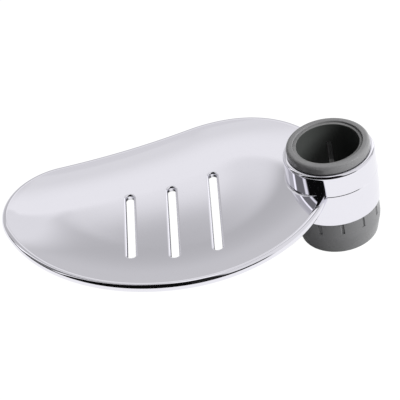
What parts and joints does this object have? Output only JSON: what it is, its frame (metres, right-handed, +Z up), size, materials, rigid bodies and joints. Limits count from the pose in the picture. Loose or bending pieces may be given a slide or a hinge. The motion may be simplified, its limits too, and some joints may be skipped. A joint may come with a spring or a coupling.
{
  "type": "riser rail soap dish",
  "caption": "Kidney-shaped chrome-plated soap dish with drain slots, on a collar that clamps to a round shower riser rail with a collet and nut.",
  "frame": {"origin": "on the riser rail's axis, in the dish's parting plane at mid-height of its rim", "axes": "+Z up along the rail; the dish reaches out from the rail towards -X, and the user stands on the -Y side"},
  "size_m": [0.1519, 0.102, 0.0438],
  "materials": {
    "chrome_plate": "bright chrome plating on moulded ABS",
    "grey_plastic": "satin grey moulded plastic",
    "liner_plastic": "matt dark grey moulded plastic",
    "ring_plastic": "black acetal"
  },
  "bodies": {
    "collet": {"collet_sleeve": "grey_plastic", "grip_liner": "liner_plastic"},
    "dish": {"soap_dish": "chrome_plate"},
    "ring": {"slip_ring": "ring_plastic"},
    "nut": {"clamp_nut": "grey_plastic"}
  },
  "joints": [
    {"name": "dish_swivel", "type": "hinge", "parent": "collet", "child": "dish", "pos_m": [0, 0, 0], "axis": [0, 0, 1], "continuous": true},
    {"name": "ring_travel", "type": "slide", "parent": "collet", "child": "ring", "axis": [0, 0, -1], "range_m": [0, 0.0069]},
    {"name": "nut_turn", "type": "hinge", "parent": "ring", "child": "nut", "pos_m": [0, 0, 0], "axis": [0, 0, -1], "range_deg": [0, 828]}
  ],
  "couplings": [
    {"joint": "ring_travel", "follows": "nut_turn", "m_per_rad": 0.00047746}
  ]
}
